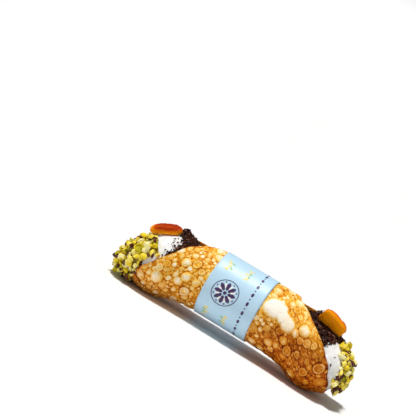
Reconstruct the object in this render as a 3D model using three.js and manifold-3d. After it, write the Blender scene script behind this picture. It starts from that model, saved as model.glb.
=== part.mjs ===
// A filled cannolo lying on its belly, as a pastry shop sells it.
// A sheet of dough is wrapped round a tube and fried, so the shell is a blistered tube whose two slanting
// mouths face up, with one edge of the sheet lapped over the other along the top. A ricotta filling runs
// right through it and mounds out of both mouths. Chopped pistachios cover the two ends of the filling,
// grated chocolate lies on its upper slopes, and a piece of candied orange peel sits on each mound.
// A paper band goes round the waist.
// Units are millimetres: x runs along the shell, y away from the viewer, z up, and the part lies on z = 0.
import * as THREE from 'three';
import { mergeVertices } from 'three/addons/utils/BufferGeometryUtils.js';
import Module from 'manifold-3d';

// Driving dimensions of the shell
const WAIST_RADIUS = 18.1;
const DOUGH = 2.0;
const AXIS_HEIGHT = 23.5;
// The shell swells towards each mouth: how much its radius grows and how far its belly hangs below the waist
const BELLIES = [
  { x: -45.5, width: 14.5, swell: 2.5, hang: 6.0 },
  { x: 53, width: 12.5, swell: 3.2, hang: 6.1 },
];
// Each mouth is cut back to `top` at the top and reaches `top + reach` at the tip of the belly. lift and
// curl (viewer's side, far side) shape the slanting rim in between. In degrees, twist turns the tube at the
// mouth towards the viewer, and the rim is cut back most at `turned` from the mouth line.
const MOUTHS = [
  { side: -1, top: 20.5, reach: 38, lift: [0.47, 0.25], curl: [1, 1], twist: 7.5, turned: 0 },
  { side: 1, top: 30, reach: 37, lift: [0.9, 0.22], curl: [2.5, 1], twist: -7.5, turned: 7.5 },
];
const TWIST_HALF_LENGTH = 45;
// The sheet starts at the outer edge of the lap, LAP_EDGE degrees from the mouth line, comes down the
// viewer's side and up the far side, and ends TUCK degrees past its own start, under the lap. On the far
// side, over the turns SINK, it sinks by its own thickness, and a gap, to pass under the lap.
const LAP_EDGE = -24;
const TUCK = 45;
const LAP_GAP = 0.25;
const SINK = [204, 345];
const RIM_RECEDES = 0.15;
const RIM_BEVEL = 0.25;

// Paper band round the waist
const BAND_WIDTH = 32;
const BAND_PAPER = 0.35;
const BAND_GAP = 0.35;
const BAND_SAG = 1.3;
const BAND_LAP = [236, 262];

// Filling: a rod of rings in the shell, each an x and how far its top dips, with a mound at each mouth.
// A mound leaves the shell at `start`, and its blunt face is at `end`. Its upper line falls from `top` to
// `topEnd` above the shell's axis, and its lower one ends at `bottomEnd`. The face leans back by `lean`, and
// the larger `blunt` is, the flatter the face.
const FILLING_GAP = 0.35;
const KEEP_OUT_DEPTH = 8;
const ROD_RINGS = [[-31, 3.1], [-15, 0], [15, 0], [36, 4.5]];
const MOUNDS = [
  { side: -1, start: 37, end: 67.5, top: 14.2, topEnd: 4, bottomEnd: -24.3, slope: 1.8, lean: 0.4, blunt: 3 },
  { side: 1, start: 43, end: 72.5, top: 12, topEnd: 6, bottomEnd: -17, slope: 2.6, lean: 0.25, blunt: 4 },
];
const CREAM_BULGE = 0.4;
// Heaps of grated chocolate on the mounds: x, y, radius and height
const HEAPS = [[-42.8, 1, 3.7, 3.2], [-51.5, -1, 5, 1.2], [44.8, 1, 3.8, 5.0]];

// Candied peel: its centre (z above the axis), half sizes along, across and through, the directions of its
// length and of its domed side, and how square its corners are (1 is round)
const PEELS = [
  {
    name: 'candied_peel_left',
    at: [-52.4, -2, 12.0],
    half: [8.5, 6.0, 2.6],
    long: [0.905, 0, 0.428],
    dome: [-0.4, -0.2, 0.9],
  },
  {
    name: 'candied_peel_right',
    at: [52.0, -3.2, 14.4],
    half: [8.9, 7.0, 2.8],
    long: [0.95, 0.07, -0.32],
    dome: [0.14, 0.8, 0.56],
  },
];
const PEEL_CORNERS = 0.62;
const PEEL_GAP = 0.35;

// Toppings that are fused to the filling. A topping's centre stands off the filling by a share of its size.
const NUT_SIZE = [1.15, 1.9];
const NUT_LIFT = 0.25;
const NUTS_ON_FACE = 28;
const NUTS_ON_COLLAR = [17, 6];
const COLLAR_SPAN = [[0.5, 0.85], [0.74, 0.9]];
const CRUMBS_PER_MOUND = 18;
const CRUMB_SIZE = [0.7, 1.15];
const CRUMB_LIFT = 0.15;
const CRUMB_SPAN = [0.0, 0.5];
const CRUMB_ANGLES = [-45, 50];

// Mesh fineness
const SHELL_COLUMNS = 72;
const SHELL_ROWS = 32;
const LINING_STEP = 9;
const LINING_ROWS = 10;
const BAND_COLUMNS = 64;
const CREAM_COLUMNS = 30;
const CREAM_ROWS = 9;
const GOLDEN_ANGLE = 137.508;

const COLOURS = {
  pastry: '#c47a2c',
  cream: '#f4f1ea',
  peel: '#d9730f',
  paper: '#9ecbe3',
};

const wasm = await Module();
wasm.setup();

const radians = THREE.MathUtils.degToRad;
const mix = THREE.MathUtils.lerp;
const smooth = (x, from, to) => THREE.MathUtils.smoothstep(x, from, to);
const bump = (x, at, width) => Math.exp(-(((x - at) / width) ** 2));
const steps = (count) => Array.from({ length: count + 1 }, (_, i) => i / count);

// The same number between 0 and 1 each time for the same n
function chance(n) {
  const s = Math.sin(n * 12.9898 + 4.1) * 43758.5453;
  return s - Math.floor(s);
}

// Shell: the tube before its mouths are cut

function swell(x) {
  return BELLIES.reduce((sum, b) => sum + b.swell * bump(x, b.x, b.width), 0);
}

function hang(x) {
  return BELLIES.reduce((sum, b) => sum + b.hang * bump(x, b.x, b.width), 0);
}

const tubeRadius = (x) => WAIST_RADIUS + swell(x);
const tubeCentre = (x) => AXIS_HEIGHT + swell(x) - hang(x);

function mouthTwist(x) {
  const [left, right] = MOUTHS;
  return mix(left.twist, right.twist, smooth(x, -TWIST_HALF_LENGTH, TWIST_HALF_LENGTH));
}

// A point at `angle` degrees from the mouth line, positive towards the viewer
function tubePoint(x, angle, radius) {
  const turned = radians(angle + mouthTwist(x));
  return new THREE.Vector3(x, -radius * Math.sin(turned), tubeCentre(x) + radius * Math.cos(turned));
}

// The sheet that is wrapped into the shell. `turn` is in degrees round from the lap's outer edge.

// Where a mouth's rim lies: slanting round the open part, and cut back over the lap and the tucked end
function rim(mouth, turn) {
  const angle = turn + LAP_EDGE;
  const from = angle - mouth.turned;
  const ripple = 0.45 * Math.sin(radians(5 * angle) + mouth.side) + 0.3 * Math.sin(radians(11 * angle));
  const past = Math.max(-from, from - 360, 0);
  const down = past > 0 ? 0 : (1 - Math.cos(radians(from))) / 2;
  const part = from < 180 ? 0 : 1;
  const share = 1 - (1 - down ** mouth.lift[part]) ** mouth.curl[part];
  return mouth.side * (mouth.top + mouth.reach * share - RIM_RECEDES * past + ripple);
}

function outerRadius(x, turn) {
  return tubeRadius(x) - (DOUGH + LAP_GAP) * smooth(turn, ...SINK);
}

const innerRadius = (x, turn) => outerRadius(x, turn) - DOUGH;

// Fried blisters: [x, angle, radius, height]. The large ones stand on the viewer's side, and the rest are
// spread evenly over the unrolled sheet with sizes drawn by chance().
const LARGE_BLISTERS = [
  [22.8, 69, 6.0, 1.0],
  [33.6, 83, 4.6, 0.8],
  [-24.1, 115, 2.9, 0.9],
  [-26.5, 89, 2.8, 0.8],
  [-30.3, 66, 2.6, 0.7],
  [-40.7, 104, 3.4, 0.8],
  [-49.6, 116, 2.9, 0.7],
  [40.0, 118, 2.7, 0.9],
  [45.8, 110, 2.1, 0.8],
  [59.5, 110, 3.0, 0.9],
  [53.0, 125, 2.5, 0.8],
  [47.0, 146, 2.9, 0.8],
  [43.0, 75, 3.2, 0.7],
  [39.1, 87, 2.4, 0.7],
];
const SMALL_BLISTERS = 130;
const BLISTER_SPAN = [-58, 68];
const BLISTER_SIZE = [1.9, 3.4];
const BLISTER_RISE = [0.2, 0.36];

function spreadBlisters() {
  return Array.from({ length: SMALL_BLISTERS }, (_, i) => {
    const size = mix(...BLISTER_SIZE, chance(2 * i + 11));
    const x = mix(...BLISTER_SPAN, (i + 0.5) / SMALL_BLISTERS);
    return [x, (i * GOLDEN_ANGLE) % 360, size, mix(...BLISTER_RISE, chance(2 * i + 12)) * size];
  });
}

const BLISTERS = [...LARGE_BLISTERS, ...spreadBlisters()];

// A blister is a dome with a flattened top. None rises under the paper or under the lap.
function blisterRelief(x, turn) {
  let height = 0;
  for (const [bx, angle, size, rise] of BLISTERS) {
    const across = THREE.MathUtils.euclideanModulo(turn + LAP_EDGE - angle + 180, 360) - 180;
    const far = Math.hypot(x - bx, radians(across) * WAIST_RADIUS) / size;
    if (far < 1) height = Math.max(height, rise * (1 - far ** 4));
  }
  const free = smooth(Math.abs(x), BAND_WIDTH / 2 + 0.8, BAND_WIDTH / 2 + 4);
  return height * free * (1 - smooth(turn, 335, 350));
}

// Closed surfaces. Points are numbered as they are added, and faces name three of them.

class Skin {
  constructor() {
    this.points = [];
    this.faces = [];
  }

  // Adds a line of points and returns their numbers
  line(points) {
    const first = this.points.length;
    this.points.push(...points);
    return points.map((_, i) => first + i);
  }

  face(a, b, c, flipped) {
    this.faces.push(...(flipped ? [a, c, b] : [a, b, c]));
  }

  // The strip between two lines, whose shares say how far along each point lies
  strip(a, b, sharesA, sharesB, flipped) {
    let i = 0;
    let j = 0;
    while (i < a.length - 1 || j < b.length - 1) {
      const nextA = i < a.length - 1 ? sharesA[i + 1] : Infinity;
      const nextB = j < b.length - 1 ? sharesB[j + 1] : Infinity;
      if (nextA <= nextB) {
        this.face(a[i], a[i + 1], b[j], flipped);
        i += 1;
      } else {
        this.face(a[i], b[j + 1], b[j], flipped);
        j += 1;
      }
    }
  }

  // The strips between neighbouring lines of equal length. A closed line joins its last point to its first.
  grid(lines, closed, flipped) {
    for (let r = 0; r < lines.length - 1; r += 1) {
      const [here, next] = [lines[r], lines[r + 1]];
      const last = closed ? here.length : here.length - 1;
      for (let c = 0; c < last; c += 1) {
        const d = (c + 1) % here.length;
        this.face(here[c], here[d], next[d], flipped);
        this.face(here[c], next[d], next[c], flipped);
      }
    }
  }

  geometry() {
    return new THREE.BufferGeometry()
      .setAttribute('position', new THREE.Float32BufferAttribute(this.points.flatMap((p) => p.toArray()), 3))
      .setIndex(this.faces);
  }
}

// Booleans

function toSolid(geometry) {
  const bare = geometry.clone();
  bare.deleteAttribute('normal');
  bare.deleteAttribute('uv');
  const merged = mergeVertices(bare, 1e-4);
  return new wasm.Manifold(new wasm.Mesh({
    numProp: 3,
    vertProperties: merged.attributes.position.array,
    triVerts: new Uint32Array(merged.index.array),
  }));
}

function toGeometry(solid) {
  const mesh = solid.getMesh();
  return new THREE.BufferGeometry()
    .setAttribute('position', new THREE.BufferAttribute(Float32Array.from(mesh.vertProperties), 3))
    .setIndex(new THREE.BufferAttribute(Uint32Array.from(mesh.triVerts), 1));
}

const largestBody = (solid) => solid.decompose().sort((a, b) => b.volume() - a.volume())[0];

const meets = (a, b) => a.intersect(b).volume() > 1e-6;

// A thick sheet over the given turns, between two radii, that stops `grow` past each rim. The outside and
// the lining have rows and columns of their own and meet along the four edges.
function sheet({ turns, liningTurns, radiusOut, radiusIn, growOut, growIn }) {
  const skin = new Skin();
  const row = (share, at, radiusOf, grow) => skin.line(at.map((turn) => {
    const x = mix(rim(MOUTHS[0], turn) - grow, rim(MOUTHS[1], turn) + grow, share);
    const p = tubePoint(x, turn + LAP_EDGE, radiusOf(x, turn));
    p.z = Math.max(p.z, 0);
    return p;
  }));
  const outside = outsideRows.map((share) => row(share, turns, radiusOut, growOut));
  const lining = liningRows.map((share) => row(share, liningTurns, radiusIn, growIn));
  skin.grid(outside, false, false);
  skin.grid(lining, false, true);
  skin.strip(outside[0], lining[0], turns, liningTurns, true);
  skin.strip(outside.at(-1), lining.at(-1), turns, liningTurns, false);
  const column = (lines, c) => lines.map((line) => line.at(c));
  skin.strip(column(outside, 0), column(lining, 0), outsideRows, liningRows, false);
  skin.strip(column(outside, -1), column(lining, -1), outsideRows, liningRows, true);
  return skin.geometry();
}

// Rows run from the left rim to the right rim. The lining's rows crowd towards the mouths, where they show.
const outsideRows = steps(SHELL_ROWS);
const liningRows = steps(LINING_ROWS).map((s) => (1 - Math.cos(Math.PI * s)) / 2);
const lastTurn = 360 + TUCK;
const liningTurns = steps(lastTurn / LINING_STEP).map((s) => s * lastTurn);

function shellGeometry() {
  return sheet({
    turns: steps(SHELL_COLUMNS).map((s) => s * lastTurn),
    liningTurns,
    radiusOut: (x, turn) => outerRadius(x, turn) + blisterRelief(x, turn),
    radiusIn: innerRadius,
    growOut: 0,
    growIn: -RIM_BEVEL,
  });
}

// What the filling has to keep out of: the sheet with a gap all round, and the space outside it. It comes in
// two halves, because one sheet can't lie over itself.
function shellKeepOut() {
  const edgeGap = 1.2;
  const half = (from, to) => {
    const turns = liningTurns.filter((turn) => turn >= from && turn <= to);
    if (from === 0) turns[0] -= edgeGap;
    if (to === lastTurn) turns[turns.length - 1] += edgeGap;
    return toSolid(sheet({
      turns,
      liningTurns: turns,
      radiusOut: (x, turn) => outerRadius(x, turn) + KEEP_OUT_DEPTH,
      radiusIn: (x, turn) => innerRadius(x, turn) - FILLING_GAP,
      growOut: FILLING_GAP,
      growIn: FILLING_GAP,
    }));
  };
  return half(0, 210).add(half(190, lastTurn));
}

// Paper band: it bridges the step of the lap, hangs a little slack on the far side, and is glued where it
// overlaps

function bandGeometry() {
  const skin = new Skin();
  const edges = [-BAND_WIDTH / 2, 0, BAND_WIDTH / 2];
  const ring = (x, extra) => skin.line(steps(BAND_COLUMNS).slice(0, -1).map((share) => {
    const turn = 360 * share;
    const slack = BAND_SAG * smooth(turn, SINK[0], 300) * (1 - smooth(turn, 310, 358));
    const lap = smooth(turn, BAND_LAP[0], BAND_LAP[0] + 2) * (1 - smooth(turn, BAND_LAP[1], BAND_LAP[1] + 2));
    return tubePoint(x, turn + LAP_EDGE, tubeRadius(x) + BAND_GAP - slack + extra * (1 + lap));
  }));
  const outside = edges.map((x) => ring(x, BAND_PAPER));
  const inside = [...edges].reverse().map((x) => ring(x, 0));
  skin.grid([...outside, ...inside, outside[0]], true, false);
  return skin.geometry();
}

// Filling

function moundShape(mound, along) {
  const x = mix(mound.start, mound.end, along);
  const top = mix(mound.top, mound.topEnd, along ** mound.slope);
  const root = mound.side * mound.start;
  const lowest = tubeCentre(root) - AXIS_HEIGHT - innerRadius(root, 180) - CREAM_BULGE;
  const bottom = mix(lowest, mound.bottomEnd, along);
  return {
    x,
    middle: (top + bottom) / 2,
    halfHeight: (top - bottom) / 2,
    halfWidth: innerRadius(root, 90) + CREAM_BULGE,
    close: (1 - along ** mound.blunt) ** (1 / mound.blunt),
  };
}

// The point of a mound's surface that lies `along` it, at `angle` degrees from its top towards the viewer
function moundPoint(mound, along, angle) {
  const shape = moundShape(mound, along);
  const a = radians(angle);
  const up = shape.halfHeight * shape.close * Math.cos(a);
  const x = mound.side * (shape.x - mound.lean * along * up);
  const y = -shape.halfWidth * shape.close * Math.sin(a);
  const heap = HEAPS.reduce((sum, [hx, hy, r, h]) => sum + h * bump(Math.hypot(x - hx, y - hy), 0, r), 0);
  const z = AXIS_HEIGHT + shape.middle + up + heap * smooth(Math.cos(a), 0.2, 0.9);
  return new THREE.Vector3(x, y, z);
}

function moundNormal(mound, along, angle) {
  const step = 0.01;
  const here = moundPoint(mound, along, angle);
  const onward = moundPoint(mound, Math.min(along + step, 0.999), angle).sub(here);
  const round = moundPoint(mound, along, angle + 1).sub(here);
  return round.cross(onward).multiplyScalar(mound.side).normalize();
}

// A point of the rod, whose top dips below the lining
function rodPoint(x, dip, angle) {
  return tubePoint(x, angle, tubeRadius(x) - DOUGH - dip * smooth(Math.cos(radians(angle)), 0.3, 1));
}

// Two mounds joined by a rod, with each end closed by a small face
function creamSolid() {
  const skin = new Skin();
  const angles = steps(CREAM_COLUMNS).slice(0, -1).map((s) => s * 360);
  // Rows crowd towards the blunt face, and the last one is nearly closed
  const alongs = steps(CREAM_ROWS).map((s) => Math.min(Math.sin((Math.PI / 2) * s), 0.9995));
  const mound = (m) => alongs.map((along) => skin.line(angles.map((angle) => moundPoint(m, along, angle))));
  const rod = ROD_RINGS.map(([x, dip]) => skin.line(angles.map((angle) => rodPoint(x, dip, angle))));
  const left = mound(MOUNDS[0]).reverse();
  const right = mound(MOUNDS[1]);
  skin.grid([...left, ...rod, ...right], true, false);
  const [first, last] = [left[0], right.at(-1)];
  for (let c = 1; c < angles.length - 1; c += 1) {
    skin.face(first[0], first[c], first[c + 1], true);
    skin.face(last[0], last[c], last[c + 1], false);
  }
  return toSolid(skin.geometry());
}

// Candied peel: a thick rounded slab, domed on its outer side and larger all round by `grow`

function peelSolid(peel, grow) {
  const geometry = new THREE.SphereGeometry(1, 16, 10);
  const position = geometry.getAttribute('position');
  const long = new THREE.Vector3(...peel.long).normalize();
  const across = new THREE.Vector3(...peel.dome).cross(long).normalize();
  const dome = long.clone().cross(across);
  const [x, y, z] = peel.at;
  const frame = new THREE.Matrix4().makeBasis(long, across, dome).setPosition(x, y, AXIS_HEIGHT + z);
  const [halfLong, halfAcross, halfThick] = peel.half;
  const squared = (v, power) => Math.sign(v) * Math.abs(v) ** power;
  for (let i = 0; i < position.count; i += 1) {
    const p = new THREE.Vector3().fromBufferAttribute(position, i);
    const lump = 1 + 0.05 * Math.sin(3 * p.x + x) + 0.05 * Math.sin(4.3 * p.y - x);
    const thick = p.z > 0 ? halfThick * 1.15 : halfThick * 0.85;
    const sag = 0.2 * halfThick * (p.x * p.x + p.y * p.y);
    p.set(
      squared(p.x, PEEL_CORNERS) * (halfLong * lump + grow),
      squared(p.y, PEEL_CORNERS) * (halfAcross * lump + grow),
      squared(p.z, p.z > 0 ? 0.8 : 0.6) * (thick + grow) - sag,
    );
    p.applyMatrix4(frame);
    position.setXYZ(i, p.x, p.y, p.z);
  }
  return toSolid(geometry);
}

// Toppings

// A rough chunk, longer one way than the others. Its corners are drawn in and out by chance().
function chunk(kernel, centre, size, seed) {
  const geometry = kernel.clone();
  const position = geometry.getAttribute('position');
  const stretch = new THREE.Vector3(1.25, 0.95, 0.75).multiplyScalar(size);
  const turn = new THREE.Euler(6.3 * chance(seed), 6.3 * chance(seed + 0.3), 6.3 * chance(seed + 0.6));
  for (let i = 0; i < position.count; i += 1) {
    const p = new THREE.Vector3().fromBufferAttribute(position, i);
    p.multiplyScalar(0.85 + 0.3 * chance(seed + 1.7 * i)).multiply(stretch).applyEuler(turn).add(centre);
    position.setXYZ(i, p.x, p.y, p.z);
  }
  return toSolid(geometry);
}

function kernel(geometry) {
  geometry.deleteAttribute('normal');
  geometry.deleteAttribute('uv');
  return mergeVertices(geometry, 1e-4);
}

const NUT = kernel(new THREE.BoxGeometry(1.5, 1.5, 1.5));
const CRUMB = kernel(new THREE.OctahedronGeometry(1));

// A place that stands off a mound by `lift`
function offMound(mound, along, angle, lift) {
  return moundPoint(mound, along, angle).addScaledVector(moundNormal(mound, along, angle), lift);
}

// Chopped pistachios on the blunt face of a mound and on the collar behind it
function nuts(mound, which) {
  const places = [];
  for (let i = 0; i < NUTS_ON_FACE; i += 1) {
    const out = 0.96 * Math.sqrt((i + 0.5) / NUTS_ON_FACE);
    places.push([(1 - out ** mound.blunt) ** (1 / mound.blunt), i * GOLDEN_ANGLE]);
  }
  for (let i = 0; i < NUTS_ON_COLLAR[which]; i += 1) {
    places.push([mix(...COLLAR_SPAN[which], chance(40 * which + i + 0.5)), ((i * GOLDEN_ANGLE) % 250) - 115]);
  }
  return places.map(([along, angle], i) => {
    const size = mix(...NUT_SIZE, chance(100 * which + i));
    return chunk(NUT, offMound(mound, along, angle, NUT_LIFT * size), size, 200 * which + i);
  });
}

// Grated chocolate on the upper slope, where the mound leaves the shell
function crumbs(mound, which) {
  return Array.from({ length: CRUMBS_PER_MOUND }, (_, i) => {
    const along = mix(...CRUMB_SPAN, chance(300 + 50 * which + i));
    const angle = mix(...CRUMB_ANGLES, (i + 0.5) / CRUMBS_PER_MOUND);
    const size = mix(...CRUMB_SIZE, chance(400 + i));
    return chunk(CRUMB, offMound(mound, along, angle, CRUMB_LIFT * size), size, 500 + 60 * which + i);
  });
}

function fillingSolid() {
  const keepOuts = [shellKeepOut(), ...PEELS.map((peel) => peelSolid(peel, PEEL_GAP))];
  const toppings = MOUNDS.flatMap((mound, which) => [...nuts(mound, which), ...crumbs(mound, which)]);
  const clear = toppings.filter((piece) => !keepOuts.some((other) => meets(piece, other)));
  const cream = keepOuts.reduce((solid, other) => solid.subtract(other), creamSolid());
  return largestBody(wasm.Manifold.union([largestBody(cream), ...clear]));
}

// Assembly

function named(name, geometry, colour, roughness) {
  const material = new THREE.MeshStandardMaterial({ color: COLOURS[colour], roughness, metalness: 0 });
  const mesh = new THREE.Mesh(geometry, material);
  mesh.name = name;
  return mesh;
}

const laid = new THREE.Group();
laid.add(named('pastry_shell', shellGeometry(), 'pastry', 0.55));
laid.add(named('ricotta_filling', toGeometry(fillingSolid()), 'cream', 0.45));
laid.add(named('paper_band', bandGeometry(), 'paper', 0.6));
for (const peel of PEELS) laid.add(named(peel.name, toGeometry(peelSolid(peel, 0)), 'peel', 0.25));

// The part's origin is the middle of its outline, on the surface that it lies on
const outline = new THREE.Box3().setFromObject(laid, true);
const middle = outline.getCenter(new THREE.Vector3());
laid.position.set(-middle.x, -middle.y, -outline.min.z);

const cannolo = new THREE.Group();
cannolo.add(laid);

export default cannolo;
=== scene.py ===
import math

import bmesh
import bpy
import numpy as np
from mathutils import Matrix, Vector


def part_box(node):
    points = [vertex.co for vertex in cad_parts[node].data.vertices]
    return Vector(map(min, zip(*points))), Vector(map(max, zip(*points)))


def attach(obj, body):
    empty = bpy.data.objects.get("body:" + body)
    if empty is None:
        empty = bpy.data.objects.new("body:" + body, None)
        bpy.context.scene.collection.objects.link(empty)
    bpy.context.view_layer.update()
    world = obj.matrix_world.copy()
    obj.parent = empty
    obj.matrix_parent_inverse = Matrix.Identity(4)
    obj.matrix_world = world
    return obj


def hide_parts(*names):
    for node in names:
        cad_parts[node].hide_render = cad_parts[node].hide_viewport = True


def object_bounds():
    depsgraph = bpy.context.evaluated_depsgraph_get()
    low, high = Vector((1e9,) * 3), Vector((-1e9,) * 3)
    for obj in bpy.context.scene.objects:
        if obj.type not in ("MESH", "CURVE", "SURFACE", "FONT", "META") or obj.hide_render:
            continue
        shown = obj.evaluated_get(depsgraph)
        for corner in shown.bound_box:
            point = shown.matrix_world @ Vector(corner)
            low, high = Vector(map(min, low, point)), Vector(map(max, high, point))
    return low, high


# A filled cannolo lying on its belly. Shapes are worked out in millimetres, with x along the shell from the
# middle of the paper band, y away from the viewer and z up. They move into the frame as they become meshes.

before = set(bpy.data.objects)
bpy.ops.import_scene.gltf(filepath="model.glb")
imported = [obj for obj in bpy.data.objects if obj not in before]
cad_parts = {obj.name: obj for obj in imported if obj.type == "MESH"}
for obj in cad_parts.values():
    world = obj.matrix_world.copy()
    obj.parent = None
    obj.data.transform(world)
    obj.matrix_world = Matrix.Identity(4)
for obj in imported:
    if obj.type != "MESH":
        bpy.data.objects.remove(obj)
cad_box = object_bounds()

MM = 0.001
BAND_LOW, BAND_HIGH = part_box("paper_band")
BAND_NEAR_SIDE = 18.8
ORIGIN = np.array([
    (BAND_LOW.x + BAND_HIGH.x) / 2 / MM,
    BAND_LOW.y / MM + BAND_NEAR_SIDE,
    0.0,
])
ROOM_LOW = np.array(cad_box[0]) / MM - ORIGIN
ROOM_HIGH = np.array(cad_box[1]) / MM - ORIGIN

# Shell
WAIST_RADIUS = 18.1
DOUGH = 2.0
AXIS_HEIGHT = 23.5
# Where each belly is, its half length, how much it widens the tube and how far it hangs
BELLIES = [(-45.5, 14.5, 2.5, 6.0), (53.0, 12.5, 3.2, 6.1)]
LEFT_MOUTH = {"side": -1, "top": 20.5, "reach": 38.0, "lift": (0.47, 0.25), "curl": (1.0, 1.0),
              "twist": 7.5, "turned": 0.0}
RIGHT_MOUTH = {"side": 1, "top": 30.0, "reach": 37.0, "lift": (0.9, 0.22), "curl": (2.5, 1.0),
               "twist": -7.5, "turned": 7.5}
TWIST_HALF_LENGTH = 45.0
LAP_EDGE = -24.0
LAST_TURN = 405.0
LAP_GAP = 0.25
SINK = (204.0, 345.0)
RIM_RECEDES = 0.15

# Paper band
BAND_HALF = 16.0
BAND_PAPER = 0.35
BAND_GAP = 0.35
BAND_SAG = 1.3
BAND_LAP = (236.0, 262.0)

# Filling
CREAM_BULGE = 0.4
LEFT_MOUND = {"side": -1, "start": 37.0, "end": 67.5, "top": 14.2, "top_end": 4.0, "bottom_end": -24.3,
              "slope": 1.8, "lean": 0.4, "blunt": 3.0}
RIGHT_MOUND = {"side": 1, "start": 43.0, "end": 72.5, "top": 12.0, "top_end": 6.0, "bottom_end": -17.0,
               "slope": 2.6, "lean": 0.25, "blunt": 4.0}
# Heaps of chocolate on the mounds: x, y, radius and height
HEAPS = [(-42.8, 1.0, 3.7, 3.2), (-51.5, -1.0, 5.0, 1.2), (44.8, 1.0, 3.8, 5.0)]
# Places along the shell where the rod of cream is drawn, and how far its top dips there
ROD_RINGS = [(-31.0, 3.1), (-15.0, 0.0), (15.0, 0.0), (36.0, 4.5)]

# Candied peel
PEELS = {
    "left": {"at": (-52.4, -2.0, 12.0), "half": (8.5, 6.0, 2.6), "long": (0.905, 0.0, 0.428),
             "dome": (-0.4, -0.2, 0.9), "amber_end": -1},
    "right": {"at": (52.0, -3.2, 14.4), "half": (8.9, 7.0, 2.8), "long": (0.95, 0.07, -0.32),
              "dome": (0.14, 0.8, 0.56), "amber_end": 0},
}
PEEL_CORNERS = 0.62

# Camera
MM_PER_PIXEL = 0.545
PICTURE = 416
TARGET_PIXEL = (237.5, 297.0)
CAMERA_AZIMUTH, CAMERA_ELEVATION, CAMERA_ROLL = 9.0, 9.0, 29.9
CAMERA_DISTANCE = 800.0
SENSOR = 36.0

GOLDEN_ANGLE = math.radians(137.508)


# Shape functions

def smooth(x, low, high):
    t = np.clip((x - low) / (high - low), 0, 1)
    return t * t * (3 - 2 * t)


def mix(a, b, share):
    return a + (b - a) * share


def bell(x, at, width):
    return np.exp(-((x - at) / width) ** 2)


def swell(x):
    return sum(grow * bell(x, at, width) for at, width, grow, _ in BELLIES)


def hang(x):
    return sum(drop * bell(x, at, width) for at, width, _, drop in BELLIES)


def tube_radius(x):
    return WAIST_RADIUS + swell(x)


def tube_centre(x):
    return AXIS_HEIGHT + swell(x) - hang(x)


def mouth_twist(x):
    return mix(LEFT_MOUTH["twist"], RIGHT_MOUTH["twist"], smooth(x, -TWIST_HALF_LENGTH, TWIST_HALF_LENGTH))


def tube_point(x, angle, radius):
    """The point at an angle in degrees from the mouth line, positive towards the viewer"""
    turned = np.radians(angle + mouth_twist(x))
    return np.stack([x + 0 * turned, -radius * np.sin(turned), tube_centre(x) + radius * np.cos(turned)], -1)


def rim(mouth, turn):
    angle = turn + LAP_EDGE
    start = angle - mouth["turned"]
    ripple = 0.45 * np.sin(np.radians(5 * angle) + mouth["side"]) + 0.3 * np.sin(np.radians(11 * angle))
    past = np.maximum(np.maximum(-start, start - 360), 0)
    down = np.where(past > 0, 0, (1 - np.cos(np.radians(start))) / 2)
    lift, curl = (np.where(start < 180, *mouth[key]) for key in ("lift", "curl"))
    share = 1 - np.maximum(1 - down ** lift, 0) ** curl
    return mouth["side"] * (mouth["top"] + mouth["reach"] * share - RIM_RECEDES * past + ripple)


def outer_radius(x, turn):
    return tube_radius(x) - (DOUGH + LAP_GAP) * smooth(turn, *SINK)


def inner_radius(x, turn):
    return outer_radius(x, turn) - DOUGH


def waves(points, size, seed, count=14):
    """Smooth lumps about `size` across, from -1 to 1, at points in millimetres"""
    draw = np.random.default_rng(seed)
    total = np.zeros(points.shape[:-1])
    for _ in range(count):
        way = draw.normal(size=3)
        way *= 2 * math.pi / size / np.linalg.norm(way) * draw.uniform(0.6, 1.5)
        total += np.sin(points @ way + draw.uniform(0, 2 * math.pi))
    return total / math.sqrt(count) / 1.4


# Meshes

def grid_faces(rows, columns, close_rows=False, close_columns=False, start=0):
    """Quads between neighbouring points of a grid whose points are numbered row by row"""
    r = np.arange(rows if close_rows else rows - 1)
    c = np.arange(columns if close_columns else columns - 1)
    r, c = np.meshgrid(r, c, indexing="ij")
    r2, c2 = (r + 1) % rows, (c + 1) % columns
    quads = np.stack([r * columns + c, r * columns + c2, r2 * columns + c2, r2 * columns + c], -1)
    return quads.reshape(-1, 4) + start


def make_piece(name, points, faces, material, replaces, point_values=None, face_values=None,
               flat=False):
    points = np.clip(np.asarray(points).reshape(-1, 3), ROOM_LOW, ROOM_HIGH)
    mesh = bpy.data.meshes.new(name)
    mesh.from_pydata(((points + ORIGIN) * MM).tolist(), [], [list(map(int, f)) for f in faces])
    for domain, values in (("POINT", point_values), ("FACE", face_values)):
        for key, numbers in (values or {}).items():
            attribute = mesh.attributes.new(key, "FLOAT", domain)
            attribute.data.foreach_set("value", np.asarray(numbers, np.float32).ravel())
    mesh.polygons.foreach_set("use_smooth", [not flat] * len(mesh.polygons))
    mesh.materials.append(material)
    mesh.validate()
    piece = bpy.data.objects.new(name, mesh)
    bpy.context.scene.collection.objects.link(piece)
    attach(piece, "root")
    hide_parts(*replaces)
    return piece


# Materials

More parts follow.
